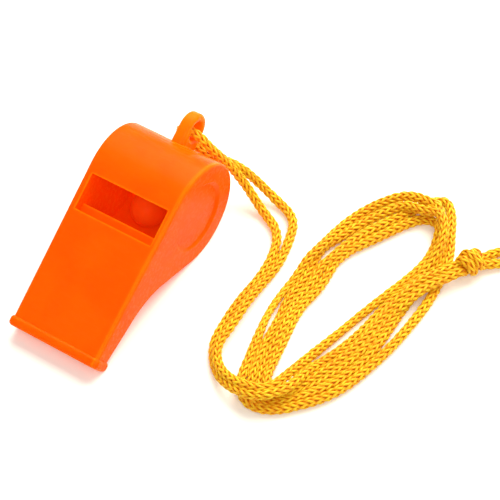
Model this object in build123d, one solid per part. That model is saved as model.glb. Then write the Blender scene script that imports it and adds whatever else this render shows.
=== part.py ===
from build123d import *
import math
import os

# Pea whistle on a knitted neck cord, in millimetres.
# The whistle is drawn lying level, in its own frame: the barrel's axis is the Y axis, +X points to the
# mouth and +Z is up. It is then tipped onto its barrel and its lip, as it rests on a table, with the
# middle of its bounding box's underside at the origin.

# Casing
WIDTH = 20.7
BARREL_RADIUS = 11.0
WALL = 1.5
SIDE_WALL = 1.65
EDGE_ROUND = 0.7
TIP_X = 34.2
TIP_UNDERSIDE = 7.0
UNDERSIDE_SLOPE = 0.19
THROAT_CORNER = (18.2, 3.96)
THROAT_RADIUS = 15.0
TAPER = 0.5

# Window and windway
WINDOW_REAR = 1.8
WINDOW_LOW = 5.0
BEVEL_END = (-1.8, 9.3)
FLOOR_REAR = 7.6
ROOF_REAR = 9.2
ROOF_UNDERSIDE = 9.7
FLOOR_TOP = 8.5
FLOOR_TOP_AT_MOUTH = 8.1
FLOOR_THICKNESS = 1.3
EDGE_THICKNESS = 0.5
POCKET_FRONT = 24.0

# Lip bead round the mouth
BEAD_LENGTH = 2.0
BEAD_HEIGHT = 0.4
BEAD_ROUND = 0.75

# Side cover
FLANGE = 0.65
FLANGE_ROUND = 0.5
SPIGOT_CLEARANCE = 0.05
SPIGOT_LAP = 0.2
SPIGOT_SETBACK = 0.1
RECESS_CENTRE = (0.2, 0.4)
RECESS_RADIUS = 7.5
RECESS_FLOOR_RADIUS = 6.7
RECESS_DEPTH = 0.6

# Cord ring
RING_CENTRE = (-14.5, -1.0)
RING_RADIUS = 3.5
RING_HOLE_RADIUS = 2.0
RING_THICKNESS = 2.6
RING_ROUND = 0.7
RING_ROOT_X = -9.8

# Pea
PEA_RADIUS = 3.5
PEA_GAP = 0.15
PEA_Y = -2.2

# Cord
CORD = 2.0
HANK_HEIGHT = 4.0
KNOT_RADIUS = 2.7

# A cutting shape runs PAST what it cuts, and edges are picked within PICK of where they lie. The arc at a
# corner of the cord's route takes ARC_SHARE of the shorter run beside it.
PAST = 2.0
PICK = 0.1
ARC_SHARE = 0.45

HALF = WIDTH / 2
BORE_RADIUS = BARREL_RADIUS - WALL
SEAM_Y = HALF - FLANGE
COVER_INNER_Y = HALF - SIDE_WALL


def slab(section, low, high):
    """A section drawn in X and Z, between two values of Y."""
    face = Plane.XZ.offset(-low) * section
    return extrude(face, amount=high - low, dir=(0, 1, 0))


def underside(x):
    """Height of the mouthpiece's underside."""
    return TIP_UNDERSIDE - UNDERSIDE_SLOPE * (TIP_X - x)


def outline():
    """The whistle's side outline: barrel, flat top, mouth and throat."""
    reach = math.hypot(*THROAT_CORNER)
    angle = math.atan2(THROAT_CORNER[1], THROAT_CORNER[0]) - math.acos(BARREL_RADIUS / reach)
    tangent = (BARREL_RADIUS * math.cos(angle), BARREL_RADIUS * math.sin(angle))
    throat = FilletPolyline((TIP_X, TIP_UNDERSIDE), THROAT_CORNER, tangent, radius=THROAT_RADIUS)
    barrel = ThreePointArc(tangent, (-BARREL_RADIUS, 0), (0, BARREL_RADIUS))
    top = Line((0, BARREL_RADIUS), (TIP_X, BARREL_RADIUS))
    front = Line((TIP_X, BARREL_RADIUS), (TIP_X, TIP_UNDERSIDE))
    return make_face([throat, barrel, top, front])


def cavities(clearance=0.0):
    """The hollow parts of the side outline: chamber, windway and core pocket."""
    chamber = Circle(BORE_RADIUS - clearance)
    windway = make_face(
        Polyline(
            (FLOOR_REAR + clearance, FLOOR_TOP + clearance),
            (TIP_X + PAST, FLOOR_TOP_AT_MOUTH + clearance),
            (TIP_X + PAST, ROOF_UNDERSIDE - clearance),
            (FLOOR_REAR + clearance, ROOF_UNDERSIDE - clearance),
            close=True,
        )
    )
    pocket_top = FLOOR_TOP_AT_MOUTH - FLOOR_THICKNESS - clearance
    field = Rectangle(POCKET_FRONT, 2 * BARREL_RADIUS)
    field = Pos(POCKET_FRONT / 2 - clearance, pocket_top - BARREL_RADIUS) * field
    pocket = (offset(outline(), amount=-WALL - clearance) & field) - Circle(BARREL_RADIUS + clearance)
    return chamber + windway + pocket


def plan(left, right):
    """A tall prism between two side lines, given at the barrel's back and drawn in towards the mouth."""
    rear = -2 * BARREL_RADIUS
    front = TIP_X + PAST
    spread, drawn = (TAPER * (x + BARREL_RADIUS) / (TIP_X + BARREL_RADIUS) for x in (rear, front))
    sign = math.copysign(1, left)
    corners = [(rear, left - sign * spread), (front, left - sign * drawn)]
    corners += [(front, right - drawn), (rear, right - spread)]
    base = Pos(0, 0, -2 * BARREL_RADIUS) * make_face(Polyline(*corners, close=True))
    return extrude(base, amount=4 * BARREL_RADIUS)


def bead():
    """The rounded lip round the mouthpiece's end."""
    half = HALF - TAPER + BEAD_HEIGHT
    low = underside(TIP_X - BEAD_LENGTH) - BEAD_HEIGHT
    high = BARREL_RADIUS + BEAD_HEIGHT
    block = Pos(TIP_X - BEAD_LENGTH / 2, 0, (low + high) / 2) * Box(BEAD_LENGTH, 2 * half, high - low)
    return fillet(block.edges(), BEAD_ROUND)


def recess():
    """The shallow dish in a side face, with its mouth at Y = 0 and its floor towards -Y."""
    dish = Cone(RECESS_FLOOR_RADIUS, RECESS_RADIUS, RECESS_DEPTH)
    return Pos(RECESS_CENTRE[0], -RECESS_DEPTH / 2, RECESS_CENTRE[1]) * Rot(-90, 0, 0) * dish


def cord_ring():
    """The tab on the barrel's back that the cord goes through."""
    x, z = RING_CENTRE
    arm = RING_ROOT_X - x
    shape = Pos(x, z) * Circle(RING_RADIUS) + Pos(x + arm / 2, z) * Rectangle(arm, 2 * RING_RADIUS)
    tab = slab(shape - Pos(x, z) * Circle(RING_HOLE_RADIUS), -RING_THICKNESS / 2, RING_THICKNESS / 2)
    rims = [edge for edge in tab.edges() if edge.center().X < RING_ROOT_X - PICK]
    rims = [edge for edge in rims if abs(edge.center().Y) > RING_THICKNESS / 2 - PICK]
    return fillet(rims, RING_ROUND)


def casing():
    """Barrel wall, left side, mouthpiece, windway floor and cord ring, in one moulding."""
    body = slab(outline(), -HALF - PAST, HALF + PAST) & plan(-HALF, SEAM_Y)
    side_edges = [edge for edge in body.edges() if edge.center().Y < -HALF + TAPER + PICK]
    side_edges = [edge for edge in side_edges if edge.center().X < TIP_X - PICK]
    body = fillet(side_edges, EDGE_ROUND)
    body = body + (bead() & plan(-HALF - PAST, SEAM_Y)) + cord_ring()
    hollow = slab(cavities(), -COVER_INNER_Y, HALF + PAST)
    top = BARREL_RADIUS + PAST
    window = Pos((WINDOW_REAR + FLOOR_REAR) / 2, 0, (WINDOW_LOW + top) / 2)
    window = window * Box(FLOOR_REAR - WINDOW_REAR, 2 * COVER_INNER_Y, top - WINDOW_LOW)
    ledge = Pos((FLOOR_REAR + ROOF_REAR) / 2, 0, (FLOOR_TOP + top) / 2)
    ledge = ledge * Box(ROOF_REAR - FLOOR_REAR, 2 * COVER_INNER_Y, top - FLOOR_TOP)
    edge_top = math.sqrt(BARREL_RADIUS**2 - WINDOW_REAR**2) - EDGE_THICKNESS
    bevel_low = BORE_RADIUS - WALL
    bevel_front = ((WINDOW_REAR, edge_top), (WINDOW_REAR, bevel_low))
    bevel = make_face(Polyline(*bevel_front, (BEVEL_END[0], bevel_low), BEVEL_END, close=True))
    body = body - hollow - window - ledge - slab(bevel, -COVER_INNER_Y, COVER_INNER_Y)
    return body - Pos(0, -HALF, 0) * mirror(recess(), Plane.XZ)


def side_cover():
    """The right side wall: a flange that laps the casing and a spigot that fits its hollows."""
    plate = slab(outline(), SEAM_Y - PAST, HALF + PAST) & plan(SEAM_Y, HALF)
    rim = [edge for edge in plate.edges() if edge.center().Y > HALF - TAPER - PICK]
    rim = [edge for edge in rim if edge.center().X < TIP_X - PICK]
    plate = fillet(rim, FLANGE_ROUND)
    plate = plate + (bead() & plan(SEAM_Y, HALF + PAST))
    spigot = slab(cavities(SPIGOT_CLEARANCE), COVER_INNER_Y, SEAM_Y + SPIGOT_LAP)
    spigot = spigot & plan(-HALF, HALF - SPIGOT_LAP)
    spigot = spigot & (Pos(-SPIGOT_SETBACK, 0, 0) * Box(2 * TIP_X, 2 * WIDTH, 4 * BARREL_RADIUS))
    return plate + spigot - Pos(0, HALF, 0) * recess()


def corner_radii(points):
    """The largest arc that each corner of a run of points leaves room for."""
    radii = []
    for before, corner, after in zip(points, points[1:], points[2:]):
        run_in = Vector(*corner) - Vector(*before)
        run_out = Vector(*after) - Vector(*corner)
        turn = math.radians(run_in.get_angle(run_out))
        radii.append(ARC_SHARE * min(run_in.length, run_out.length) / math.tan(turn / 2))
    return radii


def cord_tube(name, points):
    """A plain tube along a route of straight runs joined by tangent arcs."""
    radii = corner_radii(points)
    path = FilletPolyline(*points, radius=radii)
    start = Plane(origin=points[0], z_dir=Vector(*points[1]) - Vector(*points[0]))
    tube = sweep(start * Circle(CORD / 2), path=path)
    expected = math.pi * (CORD / 2) ** 2 * path.length
    print(name, "length", round(path.length, 1), "volume ratio", round(tube.volume / expected, 4))
    print(name, "radii", [round(radius, 1) for radius in radii])
    return tube


def smooth_loop(points):
    """A closed outline that runs smoothly through its points."""
    return make_face(Spline(*points, periodic=True))


# The cord's route in the resting frame. Both strands start at the ring's near face, where they meet. The
# near strand goes straight on from there. The far strand goes through the hole and back under the ring.
CORD_START = (-22.3, 1.4, 17.0)
NEAR_STRAND = [
    CORD_START,
    (-22.2, 4.4, 15.4),
    (-23.2, 7.6, 10.2),
    (-24.6, 10.6, 5.2),
    (-23.8, 14.6, 1.3),
    (-21.4, 19.8, 1.1),
    (-16.0, 23.0, 1.0),
    (-8.0, 24.0, 1.1),
    (0.0, 23.0, 1.0),
    (7.6, 24.0, 1.1),
    (13.0, 27.4, 1.2),
    (15.8, 32.2, 2.4),
    (15.6, 37.0, 3.2),
]
FAR_STRAND = [
    CORD_START,
    (-22.4, -3.2, 17.0),
    (-22.9, -3.2, 12.4),
    (-23.0, 2.6, 12.0),
    (-24.2, 6.8, 10.6),
    (-26.8, 10.6, 5.6),
    (-27.8, 14.8, 1.6),
    (-26.2, 20.2, 1.1),
    (-21.4, 23.8, 1.0),
    (-13.6, 25.4, 1.1),
    (-6.0, 25.2, 2.2),
    (1.6, 24.8, 2.8),
    (8.0, 25.8, 2.9),
    (12.4, 28.8, 3.0),
    (14.4, 32.6, 3.2),
    (14.4, 37.0, 3.0),
]

# The hank: two and a half turns of the doubled cord, laid as one long flat loop
HANK_OUTSIDE = [
    (17.6, 38.6),
    (13.6, 46.0),
    (4.6, 51.6),
    (-7.0, 54.2),
    (-22.0, 55.4),
    (-29.6, 56.0),
    (-36.8, 52.0),
    (-44.4, 46.8),
    (-44.8, 40.8),
    (-38.8, 33.2),
    (-28.0, 29.0),
    (-15.0, 27.4),
    (-2.0, 28.0),
    (11.0, 31.6),
]
HANK_INSIDE = [
    (7.4, 39.0),
    (-6.0, 42.0),
    (-24.0, 46.8),
    (-32.0, 47.8),
    (-35.4, 45.0),
    (-33.0, 41.0),
    (-22.0, 36.2),
    (-8.0, 35.2),
    (3.0, 36.2),
]

KNOT_CENTRE = (-31.9, 56.3, KNOT_RADIUS)
TAIL_A = [(-34.1, 57.3, 1.9), (-36.8, 58.4, 1.2), (-39.6, 60.8, 1.0), (-42.2, 63.6, 1.0), (-43.6, 67.0, 1.1)]
TAIL_B = [(-33.2, 58.3, 1.6), (-34.9, 60.4, 1.2), (-37.0, 62.8, 1.0), (-39.6, 65.4, 1.0), (-41.2, 68.8, 1.1)]


# The resting pitch: the table touches both the barrel and the rounding of the lip's lower edge
LIP_X = TIP_X - BEAD_ROUND
LIP_Z = underside(TIP_X - BEAD_LENGTH) - BEAD_HEIGHT + BEAD_ROUND
LIP_REACH = math.hypot(LIP_X, LIP_Z)
PITCH = math.degrees(math.atan2(LIP_Z, LIP_X) + math.asin((BARREL_RADIUS - BEAD_ROUND) / LIP_REACH))

tipped_casing = Rot(0, PITCH, 0) * casing()
tipped_cover = Rot(0, PITCH, 0) * side_cover()
whistle_box = (tipped_casing + tipped_cover).bounding_box()
to_rest = Pos(-(whistle_box.min.X + whistle_box.max.X) / 2, 0, BARREL_RADIUS)
lowest = to_rest.position.Z + whistle_box.min.Z
print("pitch", round(PITCH, 2), "barrel axis at", to_rest.position, "lowest", round(lowest, 4))

# The pea lies at the bottom of the chamber
pea = to_rest * Pos(0, PEA_Y, PEA_RADIUS + PEA_GAP - BORE_RADIUS) * Sphere(PEA_RADIUS)
hank = extrude(smooth_loop(HANK_OUTSIDE) - smooth_loop(HANK_INSIDE), amount=HANK_HEIGHT)
nodes = {
    "casing": to_rest * tipped_casing,
    "side_cover": to_rest * tipped_cover,
    "pea": pea,
    "cord_near_strand": cord_tube("near strand", NEAR_STRAND),
    "cord_far_strand": cord_tube("far strand", FAR_STRAND),
    "cord_hank": hank,
    "cord_knot": Pos(*KNOT_CENTRE) * Sphere(KNOT_RADIUS),
    "cord_tail_long": cord_tube("long tail", TAIL_A),
    "cord_tail_short": cord_tube("short tail", TAIL_B),
}

os.makedirs("parts", exist_ok=True)
for name, shape in nodes.items():
    export_step(shape, f"parts/{name}.step")
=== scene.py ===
"""Pea whistle on a knitted neck cord: the cord's knit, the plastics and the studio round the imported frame."""
import math

import bpy
import numpy as np
from mathutils import Matrix, Vector


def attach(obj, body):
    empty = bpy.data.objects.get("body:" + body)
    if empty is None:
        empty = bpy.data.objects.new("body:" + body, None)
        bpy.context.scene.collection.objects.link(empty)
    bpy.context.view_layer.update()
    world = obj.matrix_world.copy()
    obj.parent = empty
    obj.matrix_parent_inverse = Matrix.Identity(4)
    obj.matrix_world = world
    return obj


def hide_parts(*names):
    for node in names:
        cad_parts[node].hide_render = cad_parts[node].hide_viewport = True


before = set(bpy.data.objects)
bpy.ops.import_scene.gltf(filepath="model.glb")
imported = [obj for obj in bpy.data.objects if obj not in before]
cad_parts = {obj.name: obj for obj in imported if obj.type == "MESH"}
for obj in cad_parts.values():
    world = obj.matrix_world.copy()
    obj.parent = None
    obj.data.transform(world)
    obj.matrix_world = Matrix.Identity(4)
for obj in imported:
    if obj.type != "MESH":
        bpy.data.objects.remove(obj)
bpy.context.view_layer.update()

MM = 0.001

# Camera, in millimetres and degrees, with the nearest and the farthest that it sees in metres
CAMERA_TARGET = (-11.2, 20.2, 5.2)
CAMERA_DISTANCE = 400.0
CAMERA_AZIMUTH = 36.75
CAMERA_ELEVATION = 53.36
CAMERA_ROLL = -4.59
CAMERA_LENS = 150.7
SENSOR_WIDTH = 36.0
CAMERA_CLIP = (0.01, 20.0)

# Cord, in millimetres: knitted columns, called wales, round a core. A loop of the yarn reaches along the cord
# by a share of a stitch, sways round it by a share of a wale, and dips into it. The twist is in radians.
CORD_DIAMETER = 2.0
CORD_RADIUS = CORD_DIAMETER / 2
WALES = 4
STITCH_PITCH = 1.52
YARN_RADIUS = 0.26
YARN_SIDES = 6
POINTS_PER_STITCH = 12
LOOP_REACH = 0.63
LOOP_SWAY = 0.285
LOOP_DEPTH = 0.15
TWIST_PER_MM = 0.045
CORE_RADIUS = 0.50
CORE_SIDES = 10
CORE_STEP = 0.7
# Every loop sits a little differently, by sums of waves, each with its size, rate and start.
REACH_SPREAD = 0.12
REACH_RATE = 0.83
SEAT_SPREAD = 0.05
DEPTH_SPREAD = 0.03
SEAT_WAVES = [(0.5, 1.7, 0.0), (0.5, 0.61, 1.0)]
DRIFT_SPREAD = 0.5
DRIFT_WAVES = [(1.0, 0.043, 0.0), (0.6, 0.0171, 2.0)]
# A route's smooth line has this many points for each of the route's own, with at least this gap between them.
SPLINE_STEPS = 16
LEAST_GAP = 1e-5
# The frames along a line start from this direction, in which no strand starts.
FIRST_NORMAL = (0.31, 0.43, 0.85)
# How plump the cord is, by distance from the ring's middle: minus along the near strand, plus along the far
# one. It is slim where it is pulled tight, and loose on the hank's upper bundle.
PLUMPNESS = [(-275, 1.05), (-270, 1.14), (-260, 1.14), (-255, 1.05), (-157, 1.05), (-151, 1.14), (-138, 1.14),
             (-132, 1.05), (-68, 1.05), (-56, 1.03), (56, 1.03), (98, 1.05), (106, 0.85), (126, 0.85),
             (132, 1.05), (137, 1.05), (144, 1.14), (158, 1.14), (165, 1.05), (174, 1.05), (181, 0.70),
             (188, 0.70), (195, 1.05), (277, 1.05), (284, 1.14), (296, 1.14), (301, 1.05)]
KNOT_PLUMPNESS = 1.05
# The knit's loops stand out past the cord's nominal radius, so its centre rests this much higher.
REST_GAP = 0.12

# Two strands leave the ring's hole and lie together down to the hank. Millimetres, in the row frame.
RING_MIDDLE = (-22.4, -0.4, 16.6)
NEAR_LEAD = [
    RING_MIDDLE,
    (-22.4, 1.6, 16.6), (-22.1, 4.6, 14.4), (-23.7, 7.7, 9.7), (-24.1, 10.9, 4.9), (-22.9, 15.2, 1.0),
    (-20.2, 20.9, 1.0), (-14.6, 23.1, 1.0), (-8.8, 23.7, 1.0), (-2.9, 23.2, 1.0), (2.8, 23.6, 1.0),
    (8.7, 24.4, 1.0), (13.4, 28.3, 1.0), (15.7, 33.3, 2.9), (15.8, 39.3, 4.5), (10.9, 43.1, 4.3),
    (5.1, 43.1, 2.5),
]
FAR_LEAD = [
    RING_MIDDLE,
    (-22.4, -2.4, 16.6), (-22.6, -2.6, 14.4), (-22.6, -2.0, 12.5), (-22.6, 0.8, 12.4),
    (-22.6, 4.3, 11.3), (-25.1, 8.3, 8.7),
    (-26.8, 11.3, 4.1), (-26.6, 16.2, 1.0), (-24.6, 21.9, 1.0), (-19.1, 23.8, 1.0), (-13.6, 25.0, 1.0),
    (-7.9, 24.8, 1.1), (-2.3, 25.1, 2.4), (3.1, 25.5, 2.1), (9.2, 25.5, 2.1), (13.4, 29.2, 2.5),
    (14.9, 34.6, 4.0), (13.6, 40.3, 4.8), (7.4, 41.2, 3.6),
]

# The hank's outline at 28 stations of one turn: its inner edge, then its outer edge. A turn runs along the
# lower bundle, round the far end, back along the upper bundle and round the near end.
HANK = [
    ((5.7, 39.5), (14.7, 42.3)), ((3.2, 40.1), (11.7, 46.2)), ((-1.0, 41.1), (8.3, 49.1)),
    ((-6.5, 42.5), (3.2, 51.0)), ((-13.0, 44.1), (-3.4, 52.0)), ((-18.4, 45.6), (-9.8, 52.9)),
    ((-22.5, 46.8), (-16.7, 53.5)), ((-26.4, 47.8), (-22.3, 55.0)), ((-29.7, 48.3), (-26.4, 54.8)),
    ((-32.7, 47.9), (-31.3, 53.8)), ((-34.5, 47.0), (-36.9, 50.7)), ((-35.4, 45.7), (-41.8, 47.8)),
    ((-35.5, 44.2), (-44.4, 44.8)), ((-34.8, 42.5), (-43.4, 41.6)), ((-32.6, 41.2), (-41.4, 37.1)),
    ((-28.9, 39.3), (-37.2, 33.5)), ((-25.4, 37.3), (-32.7, 31.3)), ((-22.6, 35.6), (-27.5, 29.9)),
    ((-19.0, 34.8), (-22.2, 28.9)), ((-16.3, 35.4), (-18.0, 28.2)), ((-12.2, 35.6), (-12.8, 28.7)),
    ((-8.1, 34.8), (-7.6, 28.4)), ((-4.3, 35.0), (-1.7, 28.8)), ((0.2, 36.0), (3.8, 29.9)),
    ((4.0, 36.9), (9.1, 31.3)), ((6.1, 37.7), (12.8, 32.4)), ((7.0, 38.7), (15.4, 34.4)),
    ((6.8, 39.1), (16.6, 38.1)),
]
# Each pass of a strand: how far it lies from the inner edge to the outer one, and its height in millimetres,
# from the pass's first station on.
NEAR_PASSES = [
    (2, [(.325, 1.2), (.37, 1), (.385, 1), (.28, 1), (.31, 1), (.28, 1), (.27, 1.8), (.24, 3.0), (.40, 3.8),
         (.52, 4.4), (.53, 4.0), (.475, 3.2), (.69, 2.4), (.65, 1.2), (.63, 1), (.64, 1), (.81, 1), (.68, 1),
         (.63, 1.2), (.62, 1.4), (.47, 1), (.55, 1), (.60, 1), (.62, 1), (.70, 1), (.78, 1)]),
    (0, [(.83, 1), (.77, 1), (.78, 1), (.82, 1), (.87, 1), (.72, 1), (.58, 1), (.47, 1), (.47, 1), (.46, 1),
         (.50, 1), (.37, 1), (.275, 1), (.20, 1), (.15, 1), (.13, 1), (.13, 1), (.14, 1), (.15, 1), (.14, 1),
         (.13, 1), (.13, 1), (.12, 1), (.13, 1), (.15, 1), (.23, 1.3), (.34, 1.9), (.47, 2.3)]),
    (0, [(.58, 2.3), (.54, 1.7), (.50, 1.5), (.51, 1.5), (.51, 1.4), (.41, 1.3), (.35, 2.6), (.33, 3.1)]),
]
FAR_PASSES = [
    (2, [(.085, 1.2), (.09, 1), (.085, 1), (.087, 1), (.11, 1), (.10, 1), (.10, 1), (.12, 1.2), (.22, 2.0),
         (.38, 3.0), (.65, 3.4), (.79, 3.2), (.93, 2.4), (.91, 1.2), (.89, 1), (.89, 1), (.86, 2.4),
         (.88, 2.4), (.88, 1.3), (.88, 1), (.88, 1), (.84, 1), (.84, 1), (.87, 1), (.93, 1), (.97, 1)]),
    (0, [(1.0, 1), (.92, 1), (.93, 1), (.98, 1), (1.04, 1), (1.07, 1), (1.07, 1), (.86, 1), (.74, 1),
         (.76, 1), (.79, 1), (.90, 1), (.94, 1), (.67, 1), (.40, 1), (.38, 1), (.37, 1.2), (.335, 1.6),
         (.33, 1.8), (.44, 1.6), (.38, 1.6), (.37, 1), (.30, 2.2), (.34, 1.8), (.37, 1), (.40, 1), (.52, 1),
         (.66, 1)]),
    (0, [(.74, 1), (.68, 1), (.64, 1), (.66, 1), (.67, 1), (.57, 1.2), (.53, 2.6), (.56, 3.1)]),
]
# A strand lifted by one millimetre keeps its place in the hank's pattern if it also moves this far.
LIFT_SHIFT = (0.59, 0.44)

# The two strands run from the hank to the knot, wind round its middle and leave it as two tails.
NEAR_TO_KNOT = [(-27.5, 53.8, 3.0), (-30.9, 55.5, 2.8)]
FAR_TO_KNOT = [(-25.9, 54.8, 3.0), (-29.8, 56.6, 2.8)]
KNOT_MIDDLE = (-31.8, 56.75, 2.7)
KNOT_AXIS = (-0.87, 0.49, 0.0)
KNOT_RADIUS = 1.85
KNOT_LENGTH = 4.6
KNOT_TURNS = 1.25
KNOT_STEPS = 18
# A strand winds at this share of the radius at the knot's ends, and swells at this rate to the whole of it.
KNOT_END = 0.35
KNOT_SWELL = 2.6
TAIL_LONG = [(-32.6, 57.4, 2.4), (-34.2, 57.7, 1.8), (-36.6, 58.7, 1.2), (-39.3, 61.1, 1.0),
             (-42.0, 63.8, 1.0), (-43.6, 67.0, 1.1)]
TAIL_SHORT = [(-32.0, 57.6, 2.2), (-33.2, 58.6, 1.6), (-34.9, 60.4, 1.2), (-37.0, 62.8, 1.0),
              (-39.6, 65.4, 1.0), (-41.2, 68.8, 1.1)]
# The melted bead on each tail's end, with its lumps
TIP_LENGTH = 1.3
TIP_RADIUS = 1.02
TIP_RINGS = 10
TIP_SIDES = 28
LUMP_HEIGHT = 0.06
LUMPS_ROUND = 3
LUMPS_ALONG = 4

# Plastics: each one's colour, the deeper colour of its clouds and the paler one painted on as light: highlight
# on its edges, glow through the cord ring
SHELL_COLOURS = [(0.98, 0.088, 0.0006), (0.975, 0.076, 0.0004), (1.0, 0.20, 0.002)]
SHELL_ROUGHNESS = 0.24
PEA_COLOURS = [(0.97, 0.12, 0.012), (0.96, 0.09, 0.005), (0.97, 0.12, 0.012)]
PEA_ROUGHNESS = 0.36
# Scuffs change the roughness by factors between these two.
POLISHED = 0.8
RUBBED = 1.5
# How far the painted highlight along an edge reaches, in millimetres, and how much it pales the colour
EDGE_REACH = 0.5
EDGE_HIGHLIGHT = 0.8
# The joint between the casing and its cover lies in a plane, at a distance along its normal. Its groove has
# this width to either side and this depth.
SEAM_NORMAL = (0.00965, 1.0, -0.0054)
SEAM_AT = 9.43
SEAM_WIDTH = 0.14
SEAM_DEPTH = 0.06
# A painted glow pales the cord ring, as light coming through its thin plastic; it fades out between these
# distances from its middle.
RING_PAINTED_GLOW = 0.75
RING_NEAR = 3.6
RING_FAR = 6.5

# The yarn's colour by depth, painted shade darkening the knit's valleys and painted highlight brightening its
# raised legs, the depth where the core comes among the valleys, and the dye that clouds it
YARN_DEPTH_SHADE_COLOURS = [(0.45, (0.49, 0.055, 0.0002)), (0.66, (0.60, 0.155, 0.0003)),
                (0.82, (0.67, 0.305, 0.0006)), (0.96, (0.72, 0.53, 0.015))]
CORE_DEPTH = 0.3
YARN_DYE = (0.68, 0.19, 0.0008)

# Studio: each soft box with its place and size in metres, its power in watts and its colour
LIGHTS = [
    ("key", (-0.38, 0.02, 0.44), 0.60, 7.0, (1.0, 0.98, 0.85)),
    ("front", (0.26, 0.20, 0.44), 0.35, 1.2, (1.0, 0.98, 0.80)),
    ("side", (0.12, 0.45, 0.25), 0.40, 0.3, (1.0, 0.98, 0.80)),
]
LIGHT_TARGET = (0.0, 0.02, 0.0)
FLOOR_REACH = 2.0
FLOOR_GLOW = 0.08
SURROUND_STRENGTH = 0.42
MOST_BOUNCES = 16
MOST_DIFFUSE_BOUNCES = 10


# Materials -------------------------------------------------------------------------------------------

def node_material(name):
    """A new node material with its tree and its Principled shader."""
    material = bpy.data.materials.new(name)
    material.use_nodes = True
    return material, material.node_tree, material.node_tree.nodes["Principled BSDF"]


def add(tree, kind, inputs, **settings):
    """One shader node, its settings, and its inputs as values or as links from other nodes."""
    node = tree.nodes.new(kind)
    for key, value in settings.items():
        setattr(node, key, value)
    for key, value in inputs.items():
        if isinstance(value, bpy.types.NodeSocket):
            tree.links.new(value, node.inputs[key])
        else:
            node.inputs[key].default_value = value
    return node


def noise(tree, place, scale, detail=3.0):
    """Cloudy noise from 0 to 1, with this many features per metre."""
    inputs = {"Vector": place, "Scale": scale, "Detail": detail}
    return add(tree, "ShaderNodeTexNoise", inputs).outputs["Fac"]


def spread(tree, value, low, high, start=0.0, end=1.0):
    """The range from start to end of a value, spread from low to high."""
    inputs = {"Value": value, "From Min": start, "From Max": end, "To Min": low, "To Max": high}
    return add(tree, "ShaderNodeMapRange", inputs).outputs["Result"]


def ramp(tree, value, stops):
    """A colour from a value, by (place, colour) stops."""
    node = add(tree, "ShaderNodeValToRGB", {"Fac": value})
    elements = node.color_ramp.elements
    while len(elements) < len(stops):
        elements.new(1.0)
    for element, (place, colour) in zip(elements, stops):
        element.position = place
        element.color = (*colour, 1.0)
    return node.outputs["Color"]


def mix(tree, factor, first, second):
    """Two colours mixed by a factor: the second one where it is 1."""
    first, second = ((*c, 1.0) if isinstance(c, tuple) else c for c in (first, second))
    inputs = {"Fac": factor, "Color1": first, "Color2": second}
    return add(tree, "ShaderNodeMixRGB", inputs).outputs["Color"]


def bump(tree, height, strength, distance, normal=None):
    """A bump from a height, on top of an earlier bump."""
    inputs = {"Height": height, "Strength": strength, "Distance": distance}
    if normal is not None:
        inputs["Normal"] = normal
    return add(tree, "ShaderNodeBump", inputs).outputs["Normal"]


def pigment_and_painted_light(tree, place, colour, deep_colour, painted_light_colour):
    """Cloudy pigment, with painted highlights paling its edges and a painted glow paling the cord ring, as
    light through it.
    """
    clouds = noise(tree, place, scale=95.0, detail=2.0)
    base = ramp(tree, clouds, [(0.38, deep_colour), (0.60, colour)])
    thin = add(tree, "ShaderNodeAmbientOcclusion", {"Distance": EDGE_REACH * MM}, inside=True,
               only_local=True, samples=8).outputs["AO"]
    # Painted highlight: convex edges are paled towards the lighter colour.
    edge_highlight_mask = spread(tree, thin, low=EDGE_HIGHLIGHT, high=0.0, start=0.40, end=0.99)
    base = mix(tree, edge_highlight_mask, base, painted_light_colour)
    # Painted glow: the cord ring is paled near its middle, as light coming through it.
    away = add(tree, "ShaderNodeVectorMath", {0: place, 1: [x * MM for x in RING_MIDDLE]},
               operation="DISTANCE").outputs["Value"]
    painted_glow = spread(tree, away, low=RING_PAINTED_GLOW, high=0.0, start=RING_NEAR * MM, end=RING_FAR * MM)
    return mix(tree, painted_glow, base, painted_light_colour)


def seam(tree, place, normal):
    """The groove where the casing and its cover meet, on top of an earlier bump."""
    across = add(tree, "ShaderNodeVectorMath", {0: place, 1: SEAM_NORMAL},
                 operation="DOT_PRODUCT").outputs["Value"]
    offset = add(tree, "ShaderNodeMath", {0: across, 1: SEAM_AT * MM}, operation="SUBTRACT").outputs[0]
    offset = add(tree, "ShaderNodeMath", {0: offset}, operation="ABSOLUTE").outputs[0]
    rise = spread(tree, offset, low=0.0, high=1.0, end=SEAM_WIDTH * MM)
    return bump(tree, rise, strength=0.6, distance=SEAM_DEPTH * MM, normal=normal)


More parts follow.
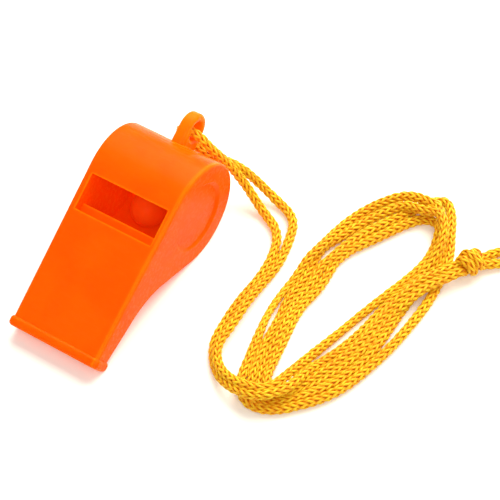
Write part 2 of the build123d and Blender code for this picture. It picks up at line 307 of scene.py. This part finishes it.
def moulded_plastic(name, colours, roughness):
    """Moulded glossy plastic: cloudy pigment, fine scuffs, painted highlights on its edges, a faint painted
    glow and the joint of its two halves.
    """
    material, tree, shader = node_material(name)
    place = add(tree, "ShaderNodeTexCoord", {}).outputs["Object"]
    tree.links.new(pigment_and_painted_light(tree, place, *colours), shader.inputs["Base Color"])
    scuff_place = add(tree, "ShaderNodeMapping",
                      {"Vector": place, "Scale": (1.0, 0.3, 1.0), "Rotation": (0.3, 0.5, 0.7)})
    scuffs = noise(tree, scuff_place.outputs["Vector"], scale=1200.0, detail=5.0)
    worn = spread(tree, scuffs, low=roughness * POLISHED, high=roughness * RUBBED, start=0.35, end=0.75)
    tree.links.new(worn, shader.inputs["Roughness"])
    sink = bump(tree, noise(tree, place, scale=110.0, detail=1.0), strength=0.12, distance=0.10 * MM)
    skin = bump(tree, noise(tree, place, scale=3800.0), strength=0.12, distance=0.004 * MM, normal=sink)
    joined = seam(tree, place, skin)
    scuffed = bump(tree, scuffs, strength=0.1, distance=0.005 * MM, normal=joined)
    tree.links.new(scuffed, shader.inputs["Normal"])
    shader.inputs["IOR"].default_value = 1.32
    shader.inputs["Specular IOR Level"].default_value = 0.06
    shader.inputs["Subsurface Weight"].default_value = 0.6
    shader.inputs["Subsurface Radius"].default_value = (1.0, 0.25, 0.05)
    shader.inputs["Subsurface Scale"].default_value = 2.5 * MM
    # A faint orange painted glow, standing in for light scattered through the plastic into its chamber.
    shader.inputs["Emission Color"].default_value = (1.0, 0.30, 0.0, 1.0)
    shader.inputs["Emission Strength"].default_value = 0.035
    return material


def knitted_yarn():
    """Shiny plied yarn: painted bright where a leg stands out and painted deep orange shade in its valleys,
    lifted by a faint painted glow, fibres along it.
    """
    material, tree, shader = node_material("knitted_yarn")
    place = add(tree, "ShaderNodeTexCoord", {}).outputs["Object"]
    depth = add(tree, "ShaderNodeAttribute", {}, attribute_name="depth").outputs["Fac"]
    # Painted shade and highlight: darker towards the knit's valleys, brighter on its raised legs.
    base = ramp(tree, depth, YARN_DEPTH_SHADE_COLOURS)
    clouds = spread(tree, noise(tree, place, scale=260.0), low=0.0, high=0.45, start=0.35, end=0.8)
    tree.links.new(mix(tree, clouds, base, YARN_DYE), shader.inputs["Base Color"])
    along = add(tree, "ShaderNodeUVMap", {}, uv_map="yarn").outputs["UV"]
    ply_place = add(tree, "ShaderNodeMapping", {"Vector": along, "Rotation": (0.0, 0.0, 0.6)})
    plies = add(tree, "ShaderNodeTexWave", {"Vector": ply_place.outputs["Vector"], "Scale": 2.6,
                                           "Distortion": 1.5, "Detail": 2.0}).outputs["Fac"]
    fibres = noise(tree, place, scale=9000.0, detail=4.0)
    relief = bump(tree, plies, strength=0.5, distance=0.03 * MM)
    relief = bump(tree, fibres, strength=0.4, distance=0.02 * MM, normal=relief)
    tree.links.new(relief, shader.inputs["Normal"])
    tree.links.new(spread(tree, fibres, low=0.38, high=0.62), shader.inputs["Roughness"])
    shader.inputs["Specular IOR Level"].default_value = 0.2
    shader.inputs["Sheen Weight"].default_value = 0.05
    shader.inputs["Sheen Tint"].default_value = (1.0, 0.75, 0.1, 1.0)
    # A faint golden painted glow, lifting the shade in the knit's crevices.
    shader.inputs["Emission Color"].default_value = (1.0, 0.36, 0.0, 1.0)
    shader.inputs["Emission Strength"].default_value = 0.08
    shader.inputs["Subsurface Weight"].default_value = 0.2
    shader.inputs["Subsurface Radius"].default_value = (1.0, 0.5, 0.1)
    shader.inputs["Subsurface Scale"].default_value = 0.4 * MM
    return material


def melted_yarn():
    """The cord's ends, melted to a hard dark bead."""
    material, tree, shader = node_material("melted_yarn")
    place = add(tree, "ShaderNodeTexCoord", {}).outputs["Object"]
    lumps = noise(tree, place, scale=1500.0)
    base = ramp(tree, lumps, [(0.3, (0.42, 0.10, 0.004)), (0.7, (0.80, 0.30, 0.01))])
    tree.links.new(base, shader.inputs["Base Color"])
    tree.links.new(bump(tree, lumps, strength=0.6, distance=0.08 * MM), shader.inputs["Normal"])
    tree.links.new(spread(tree, lumps, low=0.2, high=0.4), shader.inputs["Roughness"])
    return material


def studio_card():
    """The pale floor, with the faintest mottling."""
    material, tree, shader = node_material("studio_card")
    place = add(tree, "ShaderNodeTexCoord", {}).outputs["Object"]
    mottling = noise(tree, place, scale=40.0)
    base = ramp(tree, mottling, [(0.3, (0.88, 0.88, 0.88)), (0.7, (0.92, 0.92, 0.92))])
    tree.links.new(base, shader.inputs["Base Color"])
    shader.inputs["Roughness"].default_value = 0.8
    shader.inputs["Specular IOR Level"].default_value = 0.2
    shader.inputs["Emission Color"].default_value = (1.0, 1.0, 1.0, 1.0)
    shader.inputs["Emission Strength"].default_value = FLOOR_GLOW
    return material


# Meshes ----------------------------------------------------------------------------------------------

def piece(name, parts, materials, body):
    """One smooth piece, riding on a body, from ring_mesh's parts, each with its material's index."""
    vertices = np.concatenate([part["vertices"] for part, _ in parts]) * MM
    starts = np.cumsum([0] + [len(part["vertices"]) for part, _ in parts])
    faces = [[start + corner for corner in face] for start, (part, _) in zip(starts, parts)
             for face in part["faces"]]
    mesh = bpy.data.meshes.new(name)
    mesh.from_pydata(vertices.tolist(), [], faces)
    for material in materials:
        mesh.materials.append(material)
    index = np.concatenate([np.full(len(part["faces"]), slot) for part, slot in parts])
    mesh.polygons.foreach_set("material_index", index.astype(np.int32))
    mesh.polygons.foreach_set("use_smooth", np.ones(len(faces), bool))
    depths = np.concatenate([part["depths"] for part, _ in parts]).astype(np.float32)
    mesh.attributes.new("depth", "FLOAT", "POINT").data.foreach_set("value", depths)
    corners = np.empty(len(mesh.loops), np.int32)
    mesh.loops.foreach_get("vertex_index", corners)
    places = np.concatenate([part["places"] for part, _ in parts]).astype(np.float32)
    mesh.uv_layers.new(name="yarn").data.foreach_set("uv", places[corners].ravel())
    mesh.update()
    obj = bpy.data.objects.new(name, mesh)
    bpy.context.scene.collection.objects.link(obj)
    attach(obj, body)
    return obj


def ring_mesh(rings, depths, along):
    """A closed tube through rings of points: its vertices, faces, depths and places along and round it."""
    count, sides = rings.shape[:2]
    index = np.arange(count * sides).reshape(count, sides)
    turned = np.roll(index, -1, axis=1)
    walls = np.stack([index[:-1], turned[:-1], turned[1:], index[1:]], -1).reshape(-1, 4)
    round_places = np.tile(np.arange(sides) / sides, (count, 1))
    places = np.stack([np.broadcast_to(along[:, None], (count, sides)), round_places], -1)
    return {
        "vertices": rings.reshape(-1, 3),
        "faces": walls.tolist() + [index[0, ::-1].tolist(), index[-1].tolist()],
        "depths": depths.ravel(),
        "places": places.reshape(-1, 2),
    }


def unit(vectors):
    """The vectors, each at length 1."""
    return vectors / np.linalg.norm(vectors, axis=-1, keepdims=True)


def spline_line(points):
    """The points of the smooth NURBS line that a route's points control."""
    curve = bpy.data.curves.new("route", "CURVE")
    curve.dimensions = "3D"
    curve.resolution_u = SPLINE_STEPS
    spline = curve.splines.new("NURBS")
    spline.points.add(len(points) - 1)
    for target, point in zip(spline.points, points):
        target.co = (*point, 1.0)
    spline.order_u = 3
    spline.use_endpoint_u = True
    obj = bpy.data.objects.new("route", curve)
    mesh = bpy.data.meshes.new_from_object(obj)
    line = np.array([vertex.co for vertex in mesh.vertices]) + (0.0, 0.0, REST_GAP)
    bpy.data.meshes.remove(mesh)
    bpy.data.objects.remove(obj)
    bpy.data.curves.remove(curve)
    return line[np.r_[True, np.linalg.norm(np.diff(line, axis=0), axis=1) > LEAST_GAP]]


class Guide:
    """A line with its arc length and untwisted frames."""

    def __init__(self, line):
        self.line = line
        self.along = np.r_[0.0, np.cumsum(np.linalg.norm(np.diff(line, axis=0), axis=1))]
        self.length = self.along[-1]
        self.tangents = unit(np.gradient(line, self.along, axis=0))
        normals = [np.array(FIRST_NORMAL)]
        for tangent in self.tangents:
            normals.append(unit(normals[-1] - tangent * (normals[-1] @ tangent)))
        self.normals = np.array(normals[1:])

    def read(self, values, distance):
        """Values of the line's points, read at distances along it."""
        return np.stack([np.interp(distance, self.along, column) for column in values.T], -1)

    def around(self, distance, angle, radius):
        """Points at distances along the line, angles round it and radii from it."""
        tangent = unit(self.read(self.tangents, distance))
        normal = unit(self.read(self.normals, distance))
        out = normal * np.cos(angle)[..., None] + np.cross(tangent, normal) * np.sin(angle)[..., None]
        return self.read(self.line, distance) + out * radius[..., None]


def strand_plumpness(distance):
    """How plump the cord is at distances from the ring's middle."""
    return np.interp(distance, *zip(*PLUMPNESS))


def knot_plumpness(distance):
    """How plump the cord is where it is drawn into the knot."""
    return np.full(distance.shape, KNOT_PLUMPNESS)


def core(guide, start, end, plumpness, ring_at=0.0):
    """The filling of a strand, seen between its stitches."""
    distances = np.linspace(start, end, int((end - start) / CORE_STEP) + 2)
    sides = np.linspace(0, 2 * np.pi, CORE_SIDES, endpoint=False)
    distances, angles = np.meshgrid(distances, sides, indexing="ij")
    rings = guide.around(distances, angles, CORE_RADIUS * plumpness(distances - ring_at))
    return ring_mesh(rings, np.full(distances.shape, CORE_DEPTH), distances[:, 0])


def wander(turn, waves):
    """The sum of waves of a size, rate and start, after a number of turns."""
    return sum(size * np.sin(turn * rate + start) for size, rate, start in waves)


def stitches(guide, start, end, plumpness, ring_at=0.0):
    """The yarn of a strand: one long thread in a helix of knitted loops, each hooked through the last."""
    first = int(start * WALES / STITCH_PITCH)
    last = int(end * WALES / STITCH_PITCH)
    turn = np.arange(first * POINTS_PER_STITCH, last * POINTS_PER_STITCH + 1) / POINTS_PER_STITCH
    wave = 2 * np.pi * turn
    uneven = wander(turn, SEAT_WAVES)
    drift = wander(turn, DRIFT_WAVES)
    reach = LOOP_REACH * (1 + REACH_SPREAD * np.sin(turn * REACH_RATE))
    distance = STITCH_PITCH * (turn / WALES + reach * np.cos(wave) + SEAT_SPREAD * uneven)
    angle = 2 * np.pi * (turn + LOOP_SWAY * np.sin(2 * wave) + SEAT_SPREAD * uneven) / WALES
    angle += TWIST_PER_MM * distance + DRIFT_SPREAD * drift
    radius = CORD_RADIUS - YARN_RADIUS - LOOP_DEPTH * (1 + np.cos(2 * wave)) + DEPTH_SPREAD * uneven
    plump = plumpness(distance - ring_at)
    centre = guide.around(np.clip(distance, 0.0, guide.length), angle, plump * radius)
    thread = Guide(centre)
    sides = np.linspace(0, 2 * np.pi, YARN_SIDES, endpoint=False)
    along, sides = np.meshgrid(thread.along, sides, indexing="ij")
    rings = thread.around(along, sides, np.full(along.shape, YARN_RADIUS))
    middle = guide.read(guide.line, np.clip(distance, 0.0, guide.length))
    outside = plump * (CORD_RADIUS - YARN_RADIUS) + YARN_RADIUS
    depths = np.linalg.norm(rings - middle[:, None], axis=-1) / outside[:, None]
    return ring_mesh(rings, depths, thread.along)


def knit(guide, start, end, plumpness, ring_at=0.0):
    """A stretch of cord for a piece: its yarn and its core, both in the first material."""
    return [(make(guide, start, end, plumpness, ring_at), 0) for make in (stitches, core)]


def melted_tip(guide):
    """The bead over a cord's end: its fibres melted together."""
    turns = np.linspace(0.0, np.pi / 2, TIP_RINGS + 1)[:-1]
    sides = np.linspace(0, 2 * np.pi, TIP_SIDES, endpoint=False)
    turns, angles = np.meshgrid(turns, sides, indexing="ij")
    distances = guide.length - TIP_LENGTH * (1 - np.sin(turns))
    lumps = 1 + LUMP_HEIGHT * np.sin(LUMPS_ROUND * angles + LUMPS_ALONG * turns)
    rings = guide.around(distances, angles, TIP_RADIUS * np.cos(turns) * lumps)
    return ring_mesh(rings, np.ones(distances.shape), distances[:, 0])


# Cord ------------------------------------------------------------------------------------------------

def hank_point(station, across, height):
    """A point of the hank at a station, part of the way across it, at a height."""
    inner, outer = HANK[station % len(HANK)]
    lift = height - CORD_RADIUS
    flat = [a + (b - a) * across + shift * lift for a, b, shift in zip(inner, outer, LIFT_SHIFT)]
    return (*flat, height)


def strand_route(lead, passes, ending):
    """A strand's whole route: from the ring, through its passes round the hank, to the knot."""
    route = list(lead)
    for first, steps in passes:
        route += [hank_point(first + i, *step) for i, step in enumerate(steps)]
    return route + ending


def knot_route(phase):
    """One of the two strands wound diagonally round the knot's middle."""
    axis = unit(np.array(KNOT_AXIS))
    up = np.array((0.0, 0.0, 1.0))
    level = np.cross(up, axis)
    points = []
    for i in range(KNOT_STEPS + 1):
        share = i / KNOT_STEPS
        angle = 2 * np.pi * KNOT_TURNS * share + phase
        radius = KNOT_RADIUS * min(1.0, KNOT_END + KNOT_SWELL * min(share, 1 - share))
        along = KNOT_LENGTH * (share - 0.5)
        out = level * math.cos(angle) + up * math.sin(angle)
        points.append(tuple(np.array(KNOT_MIDDLE) + axis * along + out * radius))
    return points


def make_cord(yarn, melted):
    """Both strands, the knot and the two tails, with what the frame has to know of them."""
    near_line = spline_line(strand_route(NEAR_LEAD, NEAR_PASSES, NEAR_TO_KNOT))
    far_line = spline_line(strand_route(FAR_LEAD, FAR_PASSES, FAR_TO_KNOT))
    whole = Guide(np.concatenate([near_line[::-1], far_line[1:]]))
    near_length = Guide(near_line).length
    spans = (("cord_strand_near", 0.0, near_length), ("cord_strand_far", near_length, whole.length))
    for name, start, end in spans:
        parts = knit(whole, start, end, strand_plumpness, near_length)
        piece(name, parts, [yarn], "whistle")
    parts = []
    for phase in (0.0, math.pi):
        wrap = Guide(spline_line(knot_route(phase)))
        parts += knit(wrap, 0.0, wrap.length, knot_plumpness)
    knot = piece("cord_overhand_knot", parts, [yarn], "whistle")
    for name, points in (("cord_end_long", TAIL_LONG), ("cord_end_short", TAIL_SHORT)):
        tail = Guide(spline_line(points))
        parts = knit(tail, 0.0, tail.length, strand_plumpness) + [(melted_tip(tail), 1)]
        piece(name, parts, [yarn, melted], "whistle")
    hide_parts("cord_near_strand", "cord_hank")
    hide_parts("cord_far_strand")
    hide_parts("cord_knot")
    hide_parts("cord_tail_long")
    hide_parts("cord_tail_short")


# Studio ----------------------------------------------------------------------------------------------

def make_camera():
    """The camera, at the height and side from which the whistle is seen."""
    data = bpy.data.cameras.new("camera")
    data.lens = CAMERA_LENS
    data.sensor_width = SENSOR_WIDTH
    data.clip_start, data.clip_end = CAMERA_CLIP
    turn = (Matrix.Rotation(math.radians(CAMERA_AZIMUTH + 90), 4, "Z")
            @ Matrix.Rotation(math.radians(90 - CAMERA_ELEVATION), 4, "X")
            @ Matrix.Rotation(math.radians(CAMERA_ROLL), 4, "Z"))
    back = turn @ Vector((0.0, 0.0, 1.0))
    camera = bpy.data.objects.new("camera", data)
    camera.matrix_world = Matrix.Translation((Vector(CAMERA_TARGET) + back * CAMERA_DISTANCE) * MM) @ turn
    bpy.context.scene.collection.objects.link(camera)
    bpy.context.scene.camera = camera


def soft_light(name, place, size, power, colour):
    """A square soft box, facing the object."""
    data = bpy.data.lights.new(name, "AREA")
    data.shape = "SQUARE"
    data.size = size
    data.energy = power
    data.color = colour
    light = bpy.data.objects.new(name, data)
    light.location = place
    light.rotation_mode = "QUATERNION"
    light.rotation_quaternion = (Vector(LIGHT_TARGET) - Vector(place)).to_track_quat("-Z", "Y")
    bpy.context.scene.collection.objects.link(light)


def make_studio():
    """A pale floor, a white surround and soft boxes above it."""
    mesh = bpy.data.meshes.new("floor")
    corners = [(FLOOR_REACH * x, FLOOR_REACH * y, 0.0) for x, y in ((-1, -1), (1, -1), (1, 1), (-1, 1))]
    mesh.from_pydata(corners, [], [(0, 1, 2, 3)])
    mesh.materials.append(studio_card())
    floor = bpy.data.objects.new("floor", mesh)
    bpy.context.scene.collection.objects.link(floor)
    world = bpy.data.worlds.new("surround")
    world.use_nodes = True
    background = world.node_tree.nodes["Background"]
    background.inputs["Color"].default_value = (1.0, 1.0, 1.0, 1.0)
    background.inputs["Strength"].default_value = SURROUND_STRENGTH
    bpy.context.scene.world = world
    for settings in LIGHTS:
        soft_light(*settings)
    bpy.context.scene.view_settings.view_transform = "Standard"
    bpy.context.scene.cycles.max_bounces = MOST_BOUNCES
    bpy.context.scene.cycles.diffuse_bounces = MOST_DIFFUSE_BOUNCES


def dress_whistle():
    """The plastics of the three moulded pieces."""
    shell = moulded_plastic("orange_shell", SHELL_COLOURS, SHELL_ROUGHNESS)
    pea = moulded_plastic("orange_pea", PEA_COLOURS, PEA_ROUGHNESS)
    for node, material in (("casing", shell), ("side_cover", shell), ("pea", pea)):
        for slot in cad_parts[node].material_slots:
            slot.material = material


make_camera()
make_cord(knitted_yarn(), melted_yarn())
dress_whistle()
make_studio()
